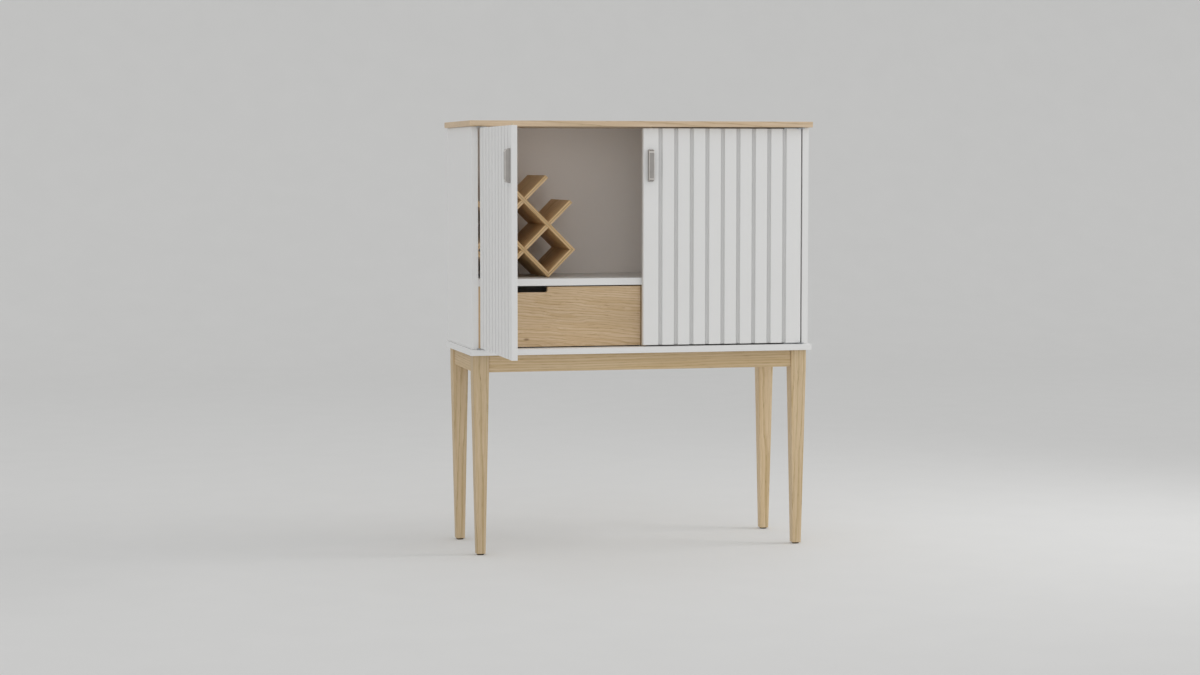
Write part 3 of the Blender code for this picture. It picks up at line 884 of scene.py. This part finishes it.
def cutMortise(board, face, node, depth, look, rounded=False):
    # room for a plate that lies flush in the board's face
    low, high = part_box(node)
    play = look["play"]
    start = (low.x - play, low.y - play, face - depth)
    end = (high.x + play, high.y + play, face + depth)
    cutter = startBlock("mortise", start, end)
    if rounded:
        almostHalf = (end[0] - start[0]) * 0.499  # so that the rounds don't meet
        openEdit(cutter)
        roundOff(
            "EDGE",
            almostHalf,
            look["plateSteps"],
            lambda edge: abs(edge.verts[0].co.z - edge.verts[1].co.z) > depth,
        )
        closeEdit()
    cutWith(board, cutter)


def boreStrike(board, node, look):
    # room above a strike for the catch's bullet
    low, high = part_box(node)
    centre = (low + high) / 2
    radius, depth = look["strikeBore"]
    up = Vector((0, 0, depth))
    cutWith(board, startRod("strikeBore", radius, centre - up, centre + up))


def addBoards(look):
    for node, name in look["names"].items():
        low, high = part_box(node)
        board = startBlock(name, low, high)
        easeEdges(board, look["ease"])
        if "side_panel" in node:
            cutRebate(board, node, look)
        for side in ("left", "right"):
            if node == "bottom_panel":
                plate = side + "_bottom_pivot_plate"
                cutMortise(board, high.z, plate, look["plateDepth"], look, rounded=True)
            if node == "top_panel":
                plate = side + "_top_pivot_plate"
                cutMortise(board, low.z, plate, look["plateDepth"], look, rounded=True)
                cutMortise(board, low.z, side + "_strike", look["strikeDepth"], look)
                boreStrike(board, side + "_strike", look)
        standsFor(board, node)


addBoards(boardLook)
print("boards ready")


# Legs: square beside the rails, an even taper below them, all four the same
legLook = {
    "footShare": 26 / 45,  # width at the foot, as a share of the top
    "round": 0.0022,
    "roundSteps": 4,
    "names": {
        "front_left_leg": "frontLeftLeg",
        "front_right_leg": "frontRightLeg",
        "rear_left_leg": "rearLeftLeg",
        "rear_right_leg": "rearRightLeg",
    },
}


def addLegs(look):
    low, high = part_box("front_left_leg")
    axis = (low + high) / 2
    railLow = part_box("front_rail")[0].z
    leg = startBlock("leg", low, high)
    openEdit(leg)
    cutAcross((0, 0, railLow), (0, 0, 1))
    pick("VERT", lambda corner: corner.co.z < low.z + near)
    share = look["footShare"]
    bpy.ops.transform.resize(value=(share, share, 1), center_override=axis)
    closeEdit()
    easeEdges(leg, look["round"], look["roundSteps"])
    for node, name in look["names"].items():
        nodeLow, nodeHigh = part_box(node)
        shift = (nodeLow + nodeHigh) / 2 - axis
        standsFor(copyPiece(leg, name, Matrix.Translation(shift)), node)
    bpy.data.objects.remove(leg, do_unlink=True)


addLegs(legLook)
print("legs ready")


# Doors: a board with upright coves routed in its face. The right one is modelled shut, and the
# left one is its mirror image, turned open about its own pin.
doorLook = {
    "grooves": 9,
    "grooveWidth": 0.0115,
    "grooveDepth": 0.0075,
    "groovePitch": 0.046,
    "grooveRound": 0.0056,  # radius at the bottom of a groove
    "grooveSteps": 6,
    "lip": 0.0012,
    "lipSteps": 3,
    "corner": 0.0030,  # radius of the leaf's outer corners
    "cornerSteps": 6,
    "ease": 0.0008,
    "easeSteps": 3,
    "endEase": 0.0005,
    "endSteps": 2,
    "pocketPlay": 0.0003,
    "shadeCurve": 0.5,  # below 1 the painted shade in a groove deepens soon below its lip
    "leftPin": (-0.475, 0.04739, 0.0),
    "leftTurn": -91,  # degrees from shut to how the left door rests
}


def addDoors(look):
    low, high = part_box("right_door_panel")
    centre = (low + high) / 2
    half = look["grooveWidth"] / 2
    floor = low.y + look["grooveDepth"]
    span = (look["grooves"] - 1) * look["groovePitch"]
    coves = [centre.x - span / 2 + index * look["groovePitch"] for index in range(look["grooves"])]

    def inCove(place, reach):
        return any(abs(place.x - x) < reach for x in coves)

    def atWall(place):
        return any(abs(abs(place.x - x) - half) < near for x in coves)

    def atEnd(place):
        return min(abs(place.x - low.x), abs(place.x - high.x)) < near

    start = (centre.x, centre.y, low.z)
    leaf = startSheet("rightDoorLeaf", start, high.x - low.x, high.y - low.y)
    openEdit(leaf)
    cutAcross((0, floor, 0), (0, 1, 0))
    for x in coves:
        cutAcross((x - half, 0, 0), (1, 0, 0))
        cutAcross((x + half, 0, 0), (1, 0, 0))
    cutAway(lambda face: middle(face).y < floor and inCove(middle(face), half))
    for size, steps, rounded in (
        ("grooveRound", "grooveSteps", lambda spot: abs(spot.y - floor) < near and atWall(spot)),
        ("lip", "lipSteps", lambda spot: abs(spot.y - low.y) < near and atWall(spot)),
        ("ease", "easeSteps", lambda spot: atEnd(spot) and spot.y > centre.y),
        ("corner", "cornerSteps", lambda spot: atEnd(spot) and spot.y < low.y + near),
    ):
        roundOff("VERT", look[size], look[steps], lambda corner: rounded(corner.co))
    thicken((0, 0, high.z - low.z))
    for level in (low.z, high.z):
        roundOff(
            "EDGE",
            look["endEase"],
            look["endSteps"],
            lambda edge: all(abs(corner.co.z - level) < near for corner in edge.verts),
        )
    closeEdit()

    barrelLow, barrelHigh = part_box("right_catch_barrel")
    barrel = (barrelLow + barrelHigh) / 2
    radius = (barrelHigh.x - barrelLow.x) / 2 + look["pocketPlay"]
    bottom = (barrel.x, barrel.y, barrelLow.z - look["pocketPlay"])
    cutWith(leaf, startRod("catchPocket", radius, bottom, (barrel.x, barrel.y, high.z + cutPast)))
    # the weight of the painted shade in the grooves
    depths = leaf.data.attributes.new("paintedShadeDepth", "FLOAT", "POINT")  # 0 on the face, 1 at a bottom
    for corner, depth in zip(leaf.data.vertices, depths.data, strict=True):
        inside = corner.co.y < floor + near and inCove(corner.co, half + look["lip"])
        share = (corner.co.y - low.y) / look["grooveDepth"] if inside else 0
        depth.value = max(share, 0) ** look["shadeCurve"]
    standsFor(leftCopy(leaf, "leftDoorLeaf"), "left_door_panel")
    standsFor(leaf, "right_door_panel")


addDoors(doorLook)
print("doors ready")


# Pulls: a cast block with rounded ends, hollowed from the hinge side for the fingers
pullLook = {
    "slope": 0.0024,  # how much each end runs in from the door to the front
    "endRound": 0.0070,
    "endSteps": 8,
    "wall": 0.0022,
    "round": 0.0014,
    "roundSteps": 4,
    "rim": 0.0004,
    "rimSteps": 2,
    "highlightAcross": (0.1, squarely),  # how far the normal of a face with a painted highlight leans to the sides
    "highlightUp": (0.05, 0.5),  # and how far it leans up or down
}


def addPulls(look):
    low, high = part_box("right_door_pull")
    centre = (low + high) / 2
    width = high.x - low.x
    pull = startBlock("rightDoorPull", low, high)
    openEdit(pull)
    pick("VERT", lambda corner: corner.co.y < centre.y)
    share = 1 - 2 * look["slope"] / (high.z - low.z)
    bpy.ops.transform.resize(value=(1, 1, share), center_override=centre)

    def atFront(edge):
        return middle(edge).y < low.y + near and abs(middle(edge).x - centre.x) < near

    def atSide(edge):
        return abs(abs(middle(edge).x - centre.x) - width / 2) < near and middle(edge).y < high.y - near

    roundOff("EDGE", look["endRound"], look["endSteps"], atFront)
    roundOff("EDGE", look["round"], look["roundSteps"], atSide)
    pick("FACE", lambda face: face.normal.x > squarely)
    bpy.ops.mesh.inset(thickness=look["wall"] - look["round"])
    bpy.ops.mesh.extrude_region_move(TRANSFORM_OT_translate={"value": (look["wall"] - width, 0, 0)})
    faceOutwards()
    closeEdit()
    easeEdges(pull, look["rim"], look["rimSteps"])
    marks = pull.data.attributes.new("paintedHighlight", "FLOAT", "FACE")  # painted highlight on the rounded edges, standing in for the light that they catch
    acrossFrom, acrossTo = look["highlightAcross"]
    upFrom, upTo = look["highlightUp"]
    for face, mark in zip(pull.data.polygons, marks.data, strict=True):
        leans = acrossFrom < abs(face.normal.x) < acrossTo or upFrom < abs(face.normal.z) < upTo
        mark.value = 1 if leans and face.center.y < centre.y else 0
    standsFor(leftCopy(pull, "leftDoorPull"), "left_door_pull")
    standsFor(pull, "right_door_pull")


addPulls(pullLook)
print("pulls ready")


# Drawer front: veneered board with a finger notch in its top edge and a groove for the bottom
drawerLook = {
    "notchStart": 0.0565,  # from the front's left end
    "notchLength": 0.1245,
    "notchDepth": 0.0155,
    "notchCorner": 0.006,
    "notchSteps": 8,
    "ease": 0.0008,
    "play": 0.0003,
}


def addDrawerFront(look):
    low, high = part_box("drawer_front")
    centre = (low + high) / 2
    left = low.x + look["notchStart"]
    right = left + look["notchLength"]
    floor = high.z - look["notchDepth"]
    start = (centre.x, low.y, centre.z)
    front = startSheet("drawerFront", start, high.x - low.x, high.z - low.z, standing=True)
    openEdit(front)
    cutAcross((left, 0, 0), (1, 0, 0))
    cutAcross((right, 0, 0), (1, 0, 0))
    cutAcross((0, 0, floor), (0, 0, 1))
    cutAway(lambda face: left < middle(face).x < right and middle(face).z > floor)
    roundOff(
        "VERT", look["notchCorner"], look["notchSteps"], lambda corner: abs(corner.co.z - floor) < near
    )
    thicken((0, high.y - low.y, 0))
    closeEdit()
    easeEdges(front, look["ease"])
    bottomLow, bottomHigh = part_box("drawer_bottom")
    play = Vector((look["play"],) * 3)
    end = Vector((bottomHigh.x, high.y + cutPast, bottomHigh.z))
    cutWith(front, startBlock("bottomGroove", bottomLow - play, end + play))
    standsFor(front, "drawer_front")


addDrawerFront(drawerLook)
print("drawer front ready")


# Screws with a countersunk head and a cross in it, and the nails round the back
screwLook = {
    "radius": 0.0024,
    "proud": 0.0002,
    "depth": 0.0012,
    "sides": 16,
    "slot": (0.0015, 0.0003, 0.0007),  # half length, half width and depth of the cross
    "onPlates": (0.007, 0.021),  # from the plate's far end
    "onStrikes": 0.0115,  # each way from the middle
    "onBlocks": ((0.0335, 0.0335), (0.010, 0.058), (0.058, 0.010)),  # from the block's corner
}
nailLook = {
    "radius": 0.0020,
    "proud": 0.0005,
    "depth": 0.0020,
    "sides": 12,
    "inset": 0.009,  # from the board's edges
    "across": 8,
    "up": 5,
}
domeLook = {"rim": 0.25, "drop": 0.6}  # the rim's width in radii, and its drop as a share of proud


def makeHead(look, name):
    # a flat head that looks up, its face a little domed
    bottom, top = (0, 0, -look["depth"]), (0, 0, look["proud"])
    head = startRod(name, look["radius"], bottom, top, look["sides"])
    openEdit(head)
    pick("FACE", lambda face: face.normal.z > squarely)
    bpy.ops.mesh.inset(thickness=look["radius"] * domeLook["rim"])

    def onRim(corner):
        return corner.co.z > 0 and corner.co.xy.length > look["radius"] - near

    pick("EDGE", lambda edge: all(onRim(corner) for corner in edge.verts))
    bpy.ops.transform.translate(value=(0, 0, -look["proud"] * domeLook["drop"]))
    closeEdit()
    return head


def drive(head, name, point, out, node, twin=None):
    # a copy of the head at the point, its face turned outwards. twin names the same screw in
    # the left door, and the CAD node that it goes with.
    place = Matrix.Translation(point) @ Vector(out).to_track_quat("Z", "Y").to_matrix().to_4x4()
    copy = copyPiece(head, name, place)
    steel = slotMaterial["zinc_steel"]
    if twin:
        twinName, twinNode = twin
        settle(leftCopy(copy, twinName), twinNode, steel, stands=False)
    settle(copy, node, steel, stands=False)


def drivePlates(screw, end, look):
    # the screws of the pivot plates and door plates at the cabinet's top or bottom
    boardLow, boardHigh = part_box(end + "_panel")
    leafLow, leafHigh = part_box("right_door_panel")
    up = 1 if end == "top" else -1
    face = boardLow.z if end == "top" else boardHigh.z
    for number, inset in enumerate(look["onPlates"], 1):
        for side in ("left", "right"):
            node = side + "_" + end + "_pivot_plate"
            low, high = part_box(node)
            point = Vector(((low.x + high.x) / 2, high.y - inset, face))
            drive(screw, side + end.title() + "PivotScrew" + str(number), point, (0, 0, -up), node)
        low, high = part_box("right_" + end + "_door_plate")
        outer = high.z if end == "top" else low.z
        point = Vector((low.x + inset, (leafLow.y + leafHigh.y) / 2, outer))
        name, plate = end.title() + "PlateScrew" + str(number), "_" + end + "_door_plate"
        twin = ("left" + name, "left" + plate)
        drive(screw, "right" + name, point, (0, 0, up), "right" + plate, twin)


def driveStrike(screw, side, look):
    node = side + "_strike"
    low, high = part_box(node)
    for number, step in enumerate((-look["onStrikes"], look["onStrikes"]), 1):
        point = Vector(((low.x + high.x) / 2 + step, (low.y + high.y) / 2, low.z))
        drive(screw, side + "StrikeScrew" + str(number), point, (0, 0, -1), node)


def driveBlock(screw, end, side, look):
    node = end + "_" + side + "_corner_block"
    low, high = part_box(node)
    for number, (inX, inY) in enumerate(look["onBlocks"], 1):
        x = high.x - inX if side == "right" else low.x + inX
        y = low.y + inY if end == "front" else high.y - inY
        name = end + side.title() + "BlockScrew" + str(number)
        drive(screw, name, Vector((x, y, low.z)), (0, 0, -1), node)


def addScrews(look):
    screw = makeHead(look, "screw")
    long, wide, deep = look["slot"]
    for reach in ((long, wide), (wide, long)):
        low = (-reach[0], -reach[1], look["proud"] - deep)
        cutWith(screw, startBlock("cross", low, (reach[0], reach[1], cutPast)))
    for end in ("top", "bottom"):
        drivePlates(screw, end, look)
    for side in ("left", "right"):
        driveStrike(screw, side, look)
        for end in ("front", "rear"):
            driveBlock(screw, end, side, look)
    bpy.data.objects.remove(screw, do_unlink=True)


def evenly(start, end, count):
    return [start + (end - start) * step / (count - 1) for step in range(count)]


def addNails(look):
    nail = makeHead(look, "nail")
    low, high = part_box("back_panel")
    left, right = low.x + look["inset"], high.x - look["inset"]
    bottom, top = low.z + look["inset"], high.z - look["inset"]
    spots = [(x, z) for x in evenly(left, right, look["across"]) for z in (bottom, top)]
    spots += [(x, z) for z in evenly(bottom, top, look["up"])[1:-1] for x in (left, right)]
    for number, (x, z) in enumerate(spots, 1):
        drive(nail, "backNail%02d" % number, Vector((x, high.y, z)), (0, 1, 0), "back_panel")
    bpy.data.objects.remove(nail, do_unlink=True)


addScrews(screwLook)
addNails(nailLook)
print("screws and nails ready")


# Floor and backdrop in one sweep, and plain soft studio light
studioLook = {
    "sweep": "#E4E4E3",
    "roughness": 0.9,
    "halfWidth": 12.0,
    "front": -11.0,
    "back": 9.5,
    "height": 8.0,
    "curve": 3.5,
    "curveSteps": 24,
}


def addStudio(look):
    centre = (0, (look["front"] + look["back"]) / 2, 0)
    sweep = startSheet("paperSweep", centre, 2 * look["halfWidth"], look["back"] - look["front"])

    def atBack(edge):
        return all(corner.co.y > look["back"] - near for corner in edge.verts)

    openEdit(sweep)
    pick("EDGE", atBack)
    bpy.ops.mesh.extrude_region_move(TRANSFORM_OT_translate={"value": (0, 0, look["height"])})
    roundOff(
        "EDGE", look["curve"], look["curveSteps"], lambda edge: atBack(edge) and middle(edge).z < near
    )
    closeEdit()
    bpy.ops.object.shade_smooth()
    finish(sweep, makeLacquer("mattSweepPaper", look["sweep"], look["roughness"]))


lightLook = {
    "ambient": 0.722,
    "aim": (0, 0.2, 0.7),
    "panels": {  # place, size, watts, and how widely it shines in degrees
        "right": ((3.21, -0.37, 2.22), 1.6, 13.0, 105),
        "lowLeft": ((-4.07, -12.3, 1.40), 5.5, 92.0, 180),
    },
}


def addLights(look):
    world = bpy.data.worlds.new("studioAir")
    bpy.context.scene.world = world
    world.use_nodes = True
    air = world.node_tree.nodes["Background"]
    air.inputs["Color"].default_value = colour("#FFFFFF")
    air.inputs["Strength"].default_value = look["ambient"]
    for name, (place, size, watts, spread) in look["panels"].items():
        bpy.ops.object.light_add(type="AREA", location=place)
        light = bpy.context.object
        light.name = name + "Panel"
        light.data.shape = "SQUARE"
        light.data.size = size
        light.data.energy = watts
        light.data.spread = math.radians(spread)
        toAim = Vector(look["aim"]) - light.location
        light.rotation_euler = toAim.to_track_quat("-Z", "Y").to_euler()


addCamera(cameraLook)
addStudio(studioLook)
addLights(lightLook)
bpy.context.scene.view_settings.view_transform = "Standard"
print("camera, floor and light ready")
